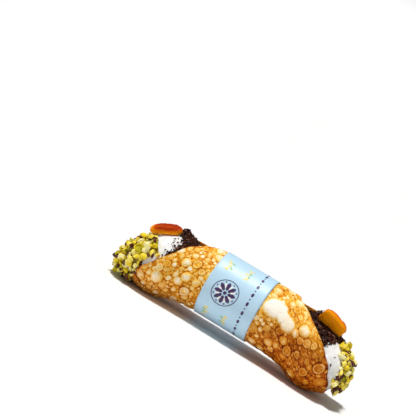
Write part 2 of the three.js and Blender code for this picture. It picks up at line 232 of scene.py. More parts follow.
class Shader:
    """A node material with one principled shader, and short ways to add the nodes that feed it"""

    def __init__(self, name, **constants):
        self.material = bpy.data.materials.new(name)
        self.material.use_nodes = True
        self.tree = self.material.node_tree
        self.tree.nodes.clear()
        self.output = self.tree.nodes.new("ShaderNodeOutputMaterial")
        self.principled = self.tree.nodes.new("ShaderNodeBsdfPrincipled")
        self.tree.links.new(self.principled.outputs[0], self.output.inputs["Surface"])
        for key, value in constants.items():
            self.principled.inputs[key.replace("_", " ")].default_value = value
        self.place = self.tree.nodes.new("ShaderNodeTexCoord").outputs["Object"]

    def feed(self, socket, value):
        if isinstance(value, bpy.types.NodeSocket):
            self.tree.links.new(value, socket)
        else:
            socket.default_value = value

    def set(self, **sockets):
        for key, value in sockets.items():
            self.feed(self.principled.inputs[key.replace("_", " ")], value)

    def attribute(self, name):
        node = self.tree.nodes.new("ShaderNodeAttribute")
        node.attribute_name = name
        return node.outputs["Fac"]

    def math(self, operation, a, b):
        node = self.tree.nodes.new("ShaderNodeMath")
        node.operation = operation
        self.feed(node.inputs[0], a)
        self.feed(node.inputs[1], b)
        return node.outputs[0]

    def add_scaled(self, base, value, scale, offset=0.0):
        """base + (value - offset) * scale"""
        return self.math("ADD", base, self.math("MULTIPLY", self.math("SUBTRACT", value, offset), scale))

    def noise(self, scale, detail, roughness=0.55):
        node = self.tree.nodes.new("ShaderNodeTexNoise")
        self.feed(node.inputs["Vector"], self.place)
        node.inputs["Scale"].default_value = scale
        node.inputs["Detail"].default_value = detail
        node.inputs["Roughness"].default_value = roughness
        return node.outputs["Fac"]

    def cells(self, scale, feature="F1"):
        node = self.tree.nodes.new("ShaderNodeTexVoronoi")
        node.feature = feature
        self.feed(node.inputs["Vector"], self.place)
        node.inputs["Scale"].default_value = scale
        return node.outputs["Distance"]

    def span(self, value, low, high, to_low=0.0, to_high=1.0):
        node = self.tree.nodes.new("ShaderNodeMapRange")
        node.interpolation_type = "SMOOTHSTEP"
        for key, number in zip(("Value", "From Min", "From Max", "To Min", "To Max"),
                               (value, low, high, to_low, to_high)):
            self.feed(node.inputs[key], number)
        return node.outputs["Result"]

    def ramp(self, value, stops):
        node = self.tree.nodes.new("ShaderNodeValToRGB")
        self.feed(node.inputs["Fac"], value)
        elements = node.color_ramp.elements
        while len(elements) < len(stops):
            elements.new(0.5)
        for element, (position, colour) in zip(elements, stops):
            element.position = position
            element.color = (*colour, 1.0)
        return node.outputs["Color"]

    def blend(self, share, a, b):
        node = self.tree.nodes.new("ShaderNodeMix")
        node.data_type = "RGBA"
        self.feed(node.inputs["Factor"], share)
        for socket, value in ((node.inputs[6], a), (node.inputs[7], b)):
            self.feed(socket, value)
        return node.outputs[2]

    def bump(self, height, depth, strength):
        node = self.tree.nodes.new("ShaderNodeBump")
        node.inputs["Strength"].default_value = strength
        node.inputs["Distance"].default_value = depth
        self.feed(node.inputs["Height"], height)
        self.tree.links.new(node.outputs["Normal"], self.principled.inputs["Normal"])


def pastry_material():
    s = Shader("fried_pastry", IOR=1.46, Specular_IOR_Level=0.08)
    tone = s.attribute("tone")
    fried_and_shade = s.attribute("fried_and_shade")
    veins = s.span(s.cells(640, "DISTANCE_TO_EDGE"), 0.0, 0.18)
    mottle = s.add_scaled(tone, s.noise(260, 4), 0.60, 0.5)
    mottle = s.add_scaled(mottle, s.noise(1100, 4), 0.50, 0.5)
    mottle = s.add_scaled(mottle, veins, 0.10, 1.0)
    light = s.ramp(mottle, [
        (0.00, (0.42, 0.080, 0.001)),
        (0.22, (0.72, 0.230, 0.003)),
        (0.44, (0.94, 0.48, 0.035)),
        (0.68, (1.00, 0.74, 0.25)),
        (0.95, (1.00, 0.95, 0.85)),
    ])
    dark = s.ramp(mottle, [
        (0.00, (0.11, 0.014, 0.001)),
        (0.25, (0.29, 0.048, 0.001)),
        (0.50, (0.56, 0.135, 0.002)),
        (0.75, (0.82, 0.36, 0.035)),
        (1.00, (0.96, 0.76, 0.42)),
    ])
    # The darker ramp takes over where the crust is browner and where shade is painted on the underside.
    s.set(Base_Color=s.blend(s.add_scaled(fried_and_shade, s.noise(120, 3), 0.5, 0.5), light, dark))
    s.set(Roughness=s.span(s.noise(500, 2), 0.2, 0.8, 0.32, 0.55))
    height = s.add_scaled(s.noise(900, 4), s.cells(1100), -0.6)
    s.bump(height, 0.0004, 0.8)
    return s.material


def cream_material():
    s = Shader("ricotta", Roughness=0.42, IOR=1.44, Specular_IOR_Level=0.35, Subsurface_Weight=0.3,
               Subsurface_Scale=0.002, Subsurface_Radius=(1.0, 0.85, 0.7))
    cream = s.ramp(s.noise(180, 3), [
        (0.25, (0.80, 0.785, 0.75)),
        (0.55, (0.87, 0.865, 0.845)),
        (0.8, (0.89, 0.89, 0.88)),
    ])
    dusted = s.ramp(s.noise(1500, 4), [
        (0.35, (0.020, 0.006, 0.004)),
        (0.6, (0.075, 0.024, 0.014)),
        (0.8, (0.20, 0.09, 0.05)),
    ])
    # Under the nuts the cream is painted dark olive: partly pistachio dust, partly painted shade in the gaps
    # between the nuts.
    nut_dust_and_shade_colour = s.ramp(s.noise(1400, 3), [
        (0.35, (0.13, 0.075, 0.010)),
        (0.55, (0.36, 0.26, 0.025)),
        (0.75, (0.62, 0.50, 0.10)),
    ])
    cocoa = s.span(s.add_scaled(s.attribute("cocoa"), s.noise(700, 3), 0.9, 0.5), 0.45, 0.6)
    nut_dust_and_shade = s.span(s.add_scaled(s.attribute("nut_dust_and_shade"), s.noise(500, 3), 0.9, 0.5), 0.55, 0.75)
    s.set(Base_Color=s.blend(nut_dust_and_shade, s.blend(cocoa, cream, dusted), nut_dust_and_shade_colour))
    s.bump(s.add_scaled(s.noise(420, 5, 0.6), s.noise(2200, 2), 0.3), 0.0005, 0.5)
    return s.material


def nut_material():
    s = Shader("pistachio", Roughness=0.45, IOR=1.47, Specular_IOR_Level=0.15, Subsurface_Weight=0.1,
               Subsurface_Scale=0.001, Subsurface_Radius=(1.0, 0.85, 0.2))
    kind = s.add_scaled(s.attribute("kind"), s.noise(520, 3), 0.5, 0.5)
    kernel = s.ramp(kind, [
        (0.00, (0.98, 0.92, 0.56)),
        (0.28, (0.97, 0.82, 0.18)),
        (0.54, (0.90, 0.66, 0.020)),
        (0.78, (0.56, 0.46, 0.010)),
        (1.00, (0.20, 0.21, 0.008)),
    ])
    husk = s.ramp(s.noise(900, 4), [
        (0.3, (0.040, 0.009, 0.008)),
        (0.55, (0.12, 0.034, 0.022)),
        (0.8, (0.27, 0.13, 0.035)),
    ])
    s.set(Base_Color=s.blend(s.span(s.add_scaled(s.attribute("skin"), s.noise(800, 2), 0.5, 0.5), 0.4, 0.6),
                             kernel, husk))
    s.bump(s.noise(1600, 4), 0.0003, 0.5)
    return s.material


def chocolate_material():
    s = Shader("chocolate", Roughness=0.45, IOR=1.5, Specular_IOR_Level=0.2)
    s.set(Base_Color=s.ramp(s.add_scaled(s.attribute("kind"), s.noise(1200, 2), 0.4, 0.5), [
        (0.0, (0.016, 0.003, 0.002)),
        (0.5, (0.075, 0.018, 0.008)),
        (1.0, (0.34, 0.140, 0.070)),
    ]))
    s.bump(s.noise(2500, 3), 0.0002, 0.5)
    return s.material


def peel_material():
    s = Shader("candied_peel", Roughness=0.55, IOR=1.47, Specular_IOR_Level=0.05)
    rind = s.attribute("rind")
    streak = s.attribute("streak")
    shade = s.add_scaled(s.add_scaled(rind, s.noise(260, 3), 0.55, 0.5), streak, 0.3, 0.5)
    s.set(Base_Color=s.ramp(shade, [
        (0.0, (0.90, 0.31, 0.003)),
        (0.35, (0.80, 0.20, 0.002)),
        (0.7, (0.54, 0.075, 0.001)),
        (1.0, (0.36, 0.030, 0.001)),
    ]))
    s.bump(s.noise(700, 4), 0.0003, 0.4)
    return s.material


def paper_material():
    s = Shader("blue_paper", Roughness=0.42, IOR=1.45, Specular_IOR_Level=0.5)
    s.set(Base_Color=s.ramp(s.noise(900, 4), [
        (0.3, (0.47, 0.69, 0.84)),
        (0.7, (0.51, 0.72, 0.87)),
    ]))
    s.bump(s.noise(2600, 3), 0.00006, 0.5)
    return s.material


def ink_material(name, dark, light):
    s = Shader(name, Roughness=0.5)
    s.set(Base_Color=s.ramp(s.noise(1500, 3), [(0.35, dark), (0.65, light)]))
    return s.material


# Fried shell

SHELL_ROWS, SHELL_COLUMNS = 260, 318
LINING_ROWS, LINING_COLUMNS = 60, 136
RIM_ROLL_ROWS, LAP_ROLL_ROWS = 10, 7
HALF_DOUGH = DOUGH / 2
EDGE_INSET = 0.5 * HALF_DOUGH
LINING_ROUGHNESS, LINING_LUMPS = 0.12, 4.0
LINING_FLOOR = 0.2
FREE_OF_BAND = (BAND_HALF + 0.5, BAND_HALF + 3)
SMOOTH_UNDER_LAP = (338, 352)
EDGE_TONE, EDGE_FRIED = 0.30, 0.35
RIM_DARKER, RIM_FRIED, RIM_FADE = 0.2, 0.35, (0.2, 1.6)

# Blisters of the viewer's side: x, angle, radius, height, paleness, kind
NAMED_BLISTERS = [
    (22.8, 69.0, 6.4, 1.0, 1.0, "flat"),
    (29.6, 77.0, 4.0, 0.9, 0.95, "flat"),
    (33.4, 83.0, 4.5, 0.8, 0.95, "flat"),
    (27.0, 66.0, 3.4, 0.9, 0.95, "flat"),
    (-24.1, 115.0, 2.8, 0.9, 0.8, "ring"),
    (40.0, 118.0, 2.6, 0.9, 0.55, "ring"),
    (59.5, 110.0, 2.9, 0.9, 0.6, "ring"),
    (53.0, 125.0, 2.3, 0.8, 0.5, "ring"),
    (45.8, 110.0, 1.8, 0.8, 0.6, "ring"),
    (52.3, 108.0, 1.5, 0.6, 0.5, "ring"),
    (47.7, 122.0, 1.4, 0.5, 0.4, "ring"),
    (42.6, 132.0, 1.4, 0.5, 0.4, "ring"),
    (47.0, 146.0, 2.9, 0.8, 0.8, "dome"),
    (43.0, 75.0, 3.2, 0.7, 0.85, "dome"),
    (39.1, 87.0, 2.4, 0.7, 0.7, "dome"),
    (-40.7, 104.0, 3.4, 0.8, 0.75, "dome"),
    (-49.6, 116.0, 2.9, 0.7, 0.65, "dome"),
    (-26.5, 89.0, 2.8, 0.8, 0.75, "dome"),
    (-30.3, 66.0, 2.6, 0.7, 0.7, "dome"),
]
# Smallest radius, largest radius and tries of each size of the scattered blisters
BLISTER_TIERS = [(2.3, 3.2, 160), (1.6, 2.3, 700), (1.0, 1.6, 3200), (0.55, 1.0, 9000)]
BLISTER_ENDS = (-60, 70)
BLISTER_RISE = (0.15, 0.27)
CROWDING = 0.83
RING_SHARE_LEFT, RING_SHARE_RIGHT, RINGS_FROM, LARGEST_RING = 0.30, 0.62, 30, 2.4
PALE_POWER, DARKER_FROM, DARKER_SHARE = 1.4, 36, 0.7
BLISTER_REACH = 1.35
# Size, height and tone of the lumps that the blisters lie on
LUMPS, SMALL_LUMPS, MOTTLES = (9.0, 0.12, 0.12), (3.2, 0.08), (3.0, 0.08)
CRUST_TONE = 0.38


def spread_blisters():
    """Lays blisters side by side over the unrolled sheet, the large ones first"""
    draw = np.random.default_rng(7)
    round_the_tube = 2 * math.pi * WAIST_RADIUS
    spots = np.array([(x, math.radians(angle) * WAIST_RADIUS, size) for x, angle, size, *_ in NAMED_BLISTERS])
    found = list(NAMED_BLISTERS)
    for small, large, tries in BLISTER_TIERS:
        for _ in range(tries):
            x, s = draw.uniform(*BLISTER_ENDS), draw.uniform(0, round_the_tube)
            size = draw.uniform(small, large)
            pale, sort = draw.uniform(0, 1), draw.uniform(0, 1)
            gap = np.abs(spots[:, 1] - s)
            gap = np.minimum(gap, round_the_tube - gap)
            if np.any(np.hypot(spots[:, 0] - x, gap) < CROWDING * (spots[:, 2] + size)):
                continue
            spots = np.vstack([spots, (x, s, size)])
            ring_share = RING_SHARE_RIGHT if x > RINGS_FROM else RING_SHARE_LEFT
            kind = "ring" if sort < ring_share and size < LARGEST_RING else "dome"
            pale = pale ** PALE_POWER * (DARKER_SHARE if x > DARKER_FROM else 1.0)
            rise = size * draw.uniform(*BLISTER_RISE)
            found.append((x, math.degrees(s / WAIST_RADIUS), size, rise, pale, kind))
    return found


def blister_profile(kind, far, pale):
    """Height, tone and depth of the painted shade ring round the blister's foot, by the distance from the
    middle, which is 1 at the edge
    """
    inner = np.maximum(1 - far ** 2, 0)
    if kind == "ring":
        edge_line = (0.34 + 0.24 * pale) * bell(far, 0.84, 0.12)
        colour = 0.34 + 0.20 * pale + edge_line + 0.42 * pale * inner ** 2
        return 0.28 + 0.72 * bell(far, 0.80, 0.16), colour, 0.22
    if kind == "dome":
        colour = 0.46 + (0.12 + 0.46 * pale) * inner ** 0.8 + 0.12 * bell(far, 0.92, 0.09)
        return inner ** 0.8, colour, 0.15
    return np.maximum(1 - far ** 4, 0), 0.58 + 0.46 * smooth(far, 1.02, 0.60), 0.0


def blister_block(x, turn, at, angle, size):
    """The part of the grid near a blister, and the steps from its middle, or None where it is off the grid"""
    across = np.radians((turn + LAP_EDGE - angle + 180) % 360 - 180) * WAIST_RADIUS
    columns = np.flatnonzero(np.abs(across) < BLISTER_REACH * size)
    if not len(columns):
        return None
    rows = np.flatnonzero(np.abs(x[:, columns] - at).min(axis=1) < BLISTER_REACH * size)
    if not len(rows):
        return None
    block = np.ix_(rows, columns)
    dx = x[block] - at
    return block, dx, across[columns][None, :] + 0 * dx


def blister_fields(x, turn, points):
    """Height and tone of the fried surface, for a grid of points whose columns share a turn"""
    size, high, bright = LUMPS
    lumps = waves(points, size, 3)
    height = high * lumps + SMALL_LUMPS[1] * waves(points, SMALL_LUMPS[0], 4)
    tone = CRUST_TONE + bright * lumps + MOTTLES[1] * waves(points, MOTTLES[0], 5)
    for number, (at, angle, size, rise, pale, kind) in enumerate(reversed(spread_blisters())):
        near = blister_block(x, turn, at, angle, size)
        if near is None:
            continue
        block, dx, dy = near
        way = np.arctan2(dy, dx)
        lobes = 1 + 0.05 * np.sin(2 * way + number) + 0.03 * np.sin(3 * way + 2.3 * number)
        far = np.hypot(dx, dy) / size * lobes
        cover = smooth(far, 1.16, 0.92)
        profile, colour, foot_shade = blister_profile(kind, far, pale)
        if kind == "flat":
            height[block] = np.maximum(height[block], rise * profile * cover)
            tone[block] = np.maximum(tone[block], colour * cover)
            continue
        height[block] = mix(height[block], 0.4 * height[block] + rise * profile, cover)
        # Painted shade: a dark ring just outside each ring and dome blister, at its foot.
        tone[block] = mix(tone[block], colour, smooth(far, 1.18, 0.84)) - foot_shade * bell(far, 1.10, 0.14)
    return height, tone


def fried_and_shade_share(x, angle):
    """How dark the crust is painted: real browning at the left tip, painted shade on the underside and on the
    lower near side of the right belly, darker on the far side, least on top
    """
    a = (angle + 180) % 360 - 180
    # Painted shade: the underside is made darker.
    low = smooth(np.abs(a), 70, 135)
    # Painted shade on the lower near side of the right belly.
    right_belly_shade = 0.85 * bell(x, 46, 22) * smooth(a, 60, 105)
    left_tip = 0.45 * smooth(x, -44, -57)
    far = 0.3 * smooth(-a, 20, 140)
    return np.clip(0.05 + 0.5 * low + right_belly_shade + left_tip + far, 0, 1)


def sheet_point(x, turn, depth, lift):
    """A point of the pastry at a depth under its unblistered crust, never below the floor"""
    point = tube_point(x, turn + LAP_EDGE, outer_radius(x, turn[None, :]) - depth + lift)
    point[..., 2] = np.maximum(point[..., 2], 0)
    return point


def crust_fields(x, turn):
    """Relief and tone of the crust, which stays smooth under the band and under the lap"""
    base = tube_point(x, turn + LAP_EDGE, outer_radius(x, turn[None, :]))
    height, tone = blister_fields(x, turn, base)
    free = smooth(np.abs(x), *FREE_OF_BAND) * (1 - smooth(turn, *SMOOTH_UNDER_LAP)[None, :])
    relief = height * free
    return np.where(free < 0.02, np.minimum(relief, 0), relief), tone


def rounded(rows):
    """Depth, step outwards and share of the relief, row by row round an edge of the sheet"""
    return [(HALF_DOUGH * (1 - math.cos(a)), EDGE_INSET * math.sin(a), max(math.cos(a), 0.0))
            for a in np.linspace(0, math.pi, rows)]


def rolled_rim(rim_x, inward, turn, relief, tone):
    """The rounded edge of a mouth, from the crust to the lining, and its tone"""
    roll = [sheet_point((rim_x - inward * out)[None, :], turn, depth, relief[None, :] * share)
            for depth, out, share in rounded(RIM_ROLL_ROWS + 1)[1:]]
    return np.concatenate(roll, 0), np.tile(tone - RIM_DARKER, (len(roll), 1))


def lining_grid():
    turn = np.linspace(0, LAST_TURN, LINING_COLUMNS)
    shares = (1 - np.cos(np.pi * np.linspace(0, 1, LINING_ROWS))) / 2
    left, right = rim(LEFT_MOUTH, turn) + EDGE_INSET, rim(RIGHT_MOUTH, turn) - EDGE_INSET
    x = mix(left[None, :], right[None, :], shares[:, None])
    radius = inner_radius(x, turn[None, :])
    radius = radius - LINING_ROUGHNESS * waves(tube_point(x, turn + LAP_EDGE, radius), LINING_LUMPS, 9)
    grid = tube_point(x, turn + LAP_EDGE, radius)
    grid[..., 2] = np.maximum(grid[..., 2], LINING_FLOOR)
    return grid


def lap_edge(x, turn, relief, way):
    """The rounded long edge where the sheet begins, with way -1, or ends, with way 1"""
    strip = []
    for depth, out, share in rounded(LAP_ROLL_ROWS):
        angle = turn + LAP_EDGE + math.degrees(out / WAIST_RADIUS) * way
        strip.append(tube_point(x, angle, outer_radius(x, turn) - depth + relief * share))
    strip = np.stack(strip, 0)
    strip[..., 2] = np.maximum(strip[..., 2], 0)
    return strip


def shell_piece(material):
    turn = np.linspace(0, LAST_TURN, SHELL_COLUMNS)
    left, right = rim(LEFT_MOUTH, turn) + EDGE_INSET, rim(RIGHT_MOUTH, turn) - EDGE_INSET
    x = mix(left[None, :], right[None, :], np.linspace(0, 1, SHELL_ROWS)[:, None])
    relief, tone = crust_fields(x, turn)
    left_roll, left_tone = rolled_rim(left, 1, turn, relief[0], tone[0])
    right_roll, right_tone = rolled_rim(right, -1, turn, relief[-1], tone[-1])
    crust = np.concatenate([left_roll[::-1], sheet_point(x, turn, 0.0, relief), right_roll], 0)
    crust_tone = np.concatenate([left_tone[::-1], tone, right_tone], 0)

    points, faces, start = [], [], 0
    for part, inside_out in ((crust, False), (lining_grid(), True),
                             (lap_edge(x[:, 0], turn[0], relief[:, 0], -1), True),
                             (lap_edge(x[:, -1], turn[-1], relief[:, -1], 1), False)):
        quads = grid_faces(*part.shape[:2], start=start)
        faces.append(quads[:, ::-1] if inside_out else quads)
        points.append(part.reshape(-1, 3))
        start += len(points[-1])

    near_rim = np.minimum(crust[..., 0] - left[None, :], right[None, :] - crust[..., 0])
    # The crust is darkened for real browning at the rims and the left tip, and with painted shade on the
    # underside and the lower right belly.
    crust_fried_and_shade = (fried_and_shade_share(crust[..., 0], (turn + LAP_EDGE)[None, :])
                   + RIM_FRIED * (1 - smooth(near_rim, *RIM_FADE)))
    tones, fried_and_shade = np.full(start, EDGE_TONE), np.full(start, EDGE_FRIED)
    tones[:crust_tone.size] = crust_tone.ravel()
    fried_and_shade[:crust_tone.size] = crust_fried_and_shade.ravel()
    return make_piece("shell", np.concatenate(points), np.concatenate(faces), material,
                      ["pastry_shell"], {"tone": tones, "fried_and_shade": np.clip(fried_and_shade, 0, 1)})


# Filling

def mound_shape(mound, along):
    x = mix(mound["start"], mound["end"], along)
    top = mix(mound["top"], mound["top_end"], along ** mound["slope"])
    root = mound["side"] * mound["start"]
    lowest = tube_centre(root) - AXIS_HEIGHT - inner_radius(root, 180.0) - CREAM_BULGE
    bottom = mix(lowest, mound["bottom_end"], along)
    close = np.maximum(1 - along ** mound["blunt"], 0) ** (1 / mound["blunt"])
    half_width = inner_radius(root, 90.0) + CREAM_BULGE
    return x, (top + bottom) / 2, (top - bottom) / 2, half_width, close


def mound_point(mound, along, angle):
    x, middle, half_height, half_width, close = mound_shape(mound, along)
    a = np.radians(angle)
    up = half_height * close * np.cos(a)
    x = mound["side"] * (x - mound["lean"] * along * up)
    y = -half_width * close * np.sin(a)
    heap = sum(h * bell(np.hypot(x - hx, y - hy), 0, r) for hx, hy, r, h in HEAPS)
    return np.stack([x, y, AXIS_HEIGHT + middle + up + heap * smooth(np.cos(a), 0.2, 0.9)], -1)


CREAM_GAP = 0.06
RIM_SLACK, LAP_SLACK = -0.4, -0.5
GAP_FILLED, GAP_REACH = (1.8, 0.7), (-2.2, 0.3)
NEARLY_ZERO = 1e-6


def pressed_in(points):
    """Pushes filling against the lining where the shell covers it, and leaves it free past the rims"""
    x, y, z = points[..., 0], points[..., 1], points[..., 2]
    up = z - tube_centre(x)
    radius = np.hypot(y, up)
    angle = np.degrees(np.arctan2(-y, up)) - mouth_twist(x)
    turn = (angle - LAP_EDGE) % 360
    cover = np.minimum(x - rim(LEFT_MOUTH, turn), rim(RIGHT_MOUTH, turn) - x)
    tucked = turn + 360
    under = (turn < LAST_TURN - 360) & (np.minimum(x - rim(LEFT_MOUTH, tucked),
                                                   rim(RIGHT_MOUTH, tucked) - x) > LAP_SLACK)
    lining = np.where(under, inner_radius(x, tucked), inner_radius(x, turn)) - CREAM_GAP
    target = np.where(cover > RIM_SLACK, np.minimum(radius, lining), radius)
    gap = np.maximum(lining - target, 0)
    target = target + gap * smooth(gap, *GAP_FILLED) * smooth(cover, *GAP_REACH)
    share = np.where(radius > NEARLY_ZERO, target / np.maximum(radius, NEARLY_ZERO), 1)
    return np.stack([x, y * share, tube_centre(x) + up * share], -1)


MOUND_ROWS, CREAM_COLUMNS = 70, 200
ROD_ROWS = (16, 20, 4, 24, 18)
MOUND_TIP = 0.9999
FOLDS_SINK = 0.15


def rod_point(x, dip, angle):
    """A point of the rod, whose top dips below the lining"""
    return tube_point(x, angle, tube_radius(x) - DOUGH - dip * smooth(np.cos(np.radians(angle)), 0.3, 1.0))


def cream_grid():
    angle = np.linspace(0, 360, CREAM_COLUMNS, endpoint=False)
    alongs = np.sin(np.pi / 2 * np.linspace(0, 1, MOUND_ROWS)) * MOUND_TIP
    left = mound_point(LEFT_MOUND, alongs[:, None], angle[None, :])
    right = mound_point(RIGHT_MOUND, alongs[:, None], angle[None, :])
    rings = [left[0], *(rod_point(x, dip, angle) for x, dip in ROD_RINGS), right[0]]
    parts = [left[::-1]]
    for a, b, rows in zip(rings, rings[1:], ROD_ROWS):
        parts.append(mix(a[None], b[None], np.linspace(0, 1, rows)[:, None, None])[1:])
    parts.append(right[1:])
    return np.concatenate(parts, 0)


def soft_folds(points):
    return 0.30 * waves(points, 11.0, 21) + 0.14 * waves(points, 4.5, 22) + 0.05 * waves(points, 1.8, 23)


def cream_piece(material):
    grid = pressed_in(cream_grid())
    radial = grid.copy()
    radial[..., 0] = 0
    radial[..., 2] -= tube_centre(grid[..., 0])
    radial /= np.maximum(np.linalg.norm(radial, axis=-1, keepdims=True), NEARLY_ZERO)
    grid = pressed_in(grid + radial * (soft_folds(grid) - FOLDS_SINK)[..., None])
    around = np.degrees(np.arctan2(-radial[..., 1], radial[..., 2]))
    rows, columns = grid.shape[:2]
    faces = list(grid_faces(rows, columns, close_columns=True))
    faces.append(list(range(columns))[::-1])
    faces.append([(rows - 1) * columns + c for c in range(columns)])
    # The cream is tinted under the chocolate, and under the nuts with pistachio dust and painted shade.
    return make_piece("ricotta", grid, faces, material, ["ricotta_filling"],
                      {"cocoa": crumb_cover(grid[..., 0], around), "nut_dust_and_shade": nut_cover(grid[..., 0], around)})


# Toppings

# Lines that bound the toppings: angles from the top, and the x of the line there
LEFT_NUT_LINE = ([0, 30, 52, 66, 76, 84, 98, 110, 135, 180],
                 [-57, -56, -51, -49, -46, -48.5, -51.5, -52, -54, -56])
RIGHT_NUT_LINE = ([0, 20, 40, 60, 97, 180], [62.0, 62.5, 64.5, 67.5, 69.0, 70.5])
LEFT_CRUMB_LINE = ([0, 11, 19, 32, 45, 60, 70, 80], [-46.5, -44, -41, -39, -38.6, -40.3, -42.5, -43])
RIGHT_CRUMB_LINE = ([0, 17, 39, 50, 60, 70], [62.8, 61.6, 58.5, 56.5, 55.0, 50.0])

NUT_SIZES = (1.4, 2.7)
NUT_STRETCH, NUT_CORNERS = (1.25, 0.95, 0.72), 13
LEFT_NUTS, RIGHT_NUTS = 190, 165
NUT_SPACING, TOP_NUT_SPACING, NUT_TRIES, TIP_NUTS = 2.4, 3.4, 60, 0.15
NUT_SINK, TOP_NUT_SINK = 0.2, 0.7
SKINNED_NUTS, SKIN_REACH, NO_SKIN = 0.55, 0.2, 2.0
WORN_WIDTH, WORN_ANGLE = 0.00012, 25

LEFT_CRUMBS, RIGHT_CRUMBS = 1200, 1600
CRUMB_SIZE, CRUMB_SIZE_RANGE, CRUMB_SIZE_POWER = 0.34, 0.72, 1.7
CRUMB_STRETCH, CRUMB_CORNERS, CRUMB_LIFT = (1.35, 0.95, 0.6), 9, 1.1
CRUMB_ANGLES, CRUMBS_END, CRUMB_TRIES = (-110, 110), 0.8, 80
ROD_CRUMBS, ROD_REACH, CRUMBS_UNDER_SHELL = 0.4, 1.5, 1.2


def line_x(line, angle):
    return np.interp(np.abs(angle), *line)


def nut_cover(x, angle):
    """Where nuts cover the mounds, by x and the angle from the top"""
    return np.maximum(smooth(line_x(LEFT_NUT_LINE, angle) - x, -0.8, 0.8),
                      smooth(x - line_x(RIGHT_NUT_LINE, angle), -0.8, 0.8))


def crumb_cover(x, angle):
    """Where chocolate covers the mounds and the filling behind them"""
    left, right = line_x(LEFT_CRUMB_LINE, angle), line_x(RIGHT_CRUMB_LINE, angle)
    return np.maximum(smooth(x, left - 1.0, left + 0.6) * (x < 0),
                      smooth(x, right + 1.0, right - 0.8) * (x > 0))


def crumb_chance(x, angle):
    """The cover, and a few stray crumbs past its line"""
    if x < 0:
        stray = 0.08 * smooth(x, -50, -41) * smooth(abs(angle), 75, 60)
    else:
        stray = 0.03 * smooth(x, 66, 58) * smooth(abs(angle), 100, 80)
    return max(float(crumb_cover(x, angle)), float(stray))


def mound_normal(mound, along, angle):
    here = mound_point(mound, along, angle)
    onward = mound_point(mound, np.minimum(along + 0.01, 0.999), angle) - here
    round_ = mound_point(mound, along, angle + 1.0) - here
    normal = np.cross(round_, onward) * mound["side"]
    return normal / np.linalg.norm(normal, axis=-1, keepdims=True)


def nut_places(mound, count, seed, spacing):
    """Places for nuts on a mound's surface, at least `spacing` apart and fewer at its tip"""
    draw = np.random.default_rng(seed)
    kept, tried = [], 0
    while len(kept) < count and tried < NUT_TRIES * count:
        tried += 1
        along = math.sin(math.pi / 2 * draw.uniform(0.0, 1))
        angle = draw.uniform(-180, 180)
        keep = draw.uniform()
        close = mound_shape(mound, along)[-1]
        if keep > mix(TIP_NUTS, 1, close):
            continue
        place = mound_point(mound, along, angle)
        chance = nut_cover(place[0], angle)
        if chance <= 0 or draw.uniform() > chance:
            continue
        if kept and np.min(np.linalg.norm(np.array([k[0] for k in kept]) - place, axis=1)) < spacing:
            continue
        kept.append((place, mound_normal(mound, along, angle)))
    return kept


CHUNK_SPREAD = (0.78, 1.18)
CUT_DEPTH = 0.45
TURNS = (0, 6.28)
FLAT_WITHIN = 9
KEEP_IN = 0.05


def rough_chunk(draw, size, stretch, corners):
    """The hull of points spread over a stretched and cut ball: points, faces and their normals"""
    i = np.arange(corners) + 0.5
    height = 1 - 2 * i / corners
    ring = np.sqrt(1 - height ** 2)
    turn = GOLDEN_ANGLE * i
    ball = np.stack([ring * np.cos(turn), ring * np.sin(turn), height], -1)
    ball *= draw.uniform(*CHUNK_SPREAD, (corners, 1))
    cut_way = draw.normal(size=3)
    cut_way /= np.linalg.norm(cut_way)
    ball -= np.maximum(ball @ cut_way - CUT_DEPTH, 0)[:, None] * cut_way
    ball *= np.array(stretch) * size
    turns = Matrix.Rotation(draw.uniform(*TURNS), 3, "X") @ Matrix.Rotation(draw.uniform(*TURNS), 3, "Y")
    ball = ball @ np.array(turns @ Matrix.Rotation(draw.uniform(*TURNS), 3, "Z")).T
    shape = bmesh.new()
    for p in ball:
        shape.verts.new(p)
    hull = bmesh.ops.convex_hull(shape, input=shape.verts)
    inside = [v for v in hull["geom_interior"] if isinstance(v, bmesh.types.BMVert)]
    bmesh.ops.delete(shape, geom=inside, context="VERTS")
    bmesh.ops.dissolve_limit(shape, angle_limit=math.radians(FLAT_WITHIN), verts=shape.verts,
                             edges=shape.edges)
    shape.verts.index_update()
    points = np.array([v.co for v in shape.verts])
    faces = [[v.index for v in f.verts] for f in shape.faces]
    normals = np.array([f.normal for f in shape.faces])
    shape.free()
    return points, faces, normals


class Heap:
    """Collects chunks into one mesh"""

    def __init__(self):
        self.points, self.faces, self.kind, self.skin = [], [], [], []
        self.count = 0

    def add(self, points, faces, kind, skin):
        low, high = points.min(0), points.max(0)
        points = points + np.maximum(ROOM_LOW + KEEP_IN - low, 0) - np.maximum(high - ROOM_HIGH + KEEP_IN, 0)
        self.points.append(points)
        self.faces += [[v + self.count for v in f] for f in faces]
        self.kind += [kind] * len(faces)
        self.skin += list(skin)
        self.count += len(points)

    def piece(self, name, material, slot):
        return make_piece(name, np.concatenate(self.points), self.faces, material, ["ricotta_filling"],
                          face_values={"kind": self.kind, "skin": self.skin}, flat=True)


def add_nuts(heap, places, seed, sink):
    draw = np.random.default_rng(seed)
    for place, normal in places:
        size = draw.uniform(*NUT_SIZES)
        points, faces, normals = rough_chunk(draw, size, NUT_STRETCH, NUT_CORNERS)
        husk_way = draw.normal(size=3)
        husk_way /= np.linalg.norm(husk_way)
        reach = SKIN_REACH if draw.uniform() < SKINNED_NUTS else NO_SKIN
        skin = (normals @ husk_way > reach).astype(float)
        kind = draw.beta(1.5, 1.7)
        heap.add(points + place + normal * size * sink, faces, kind, skin)


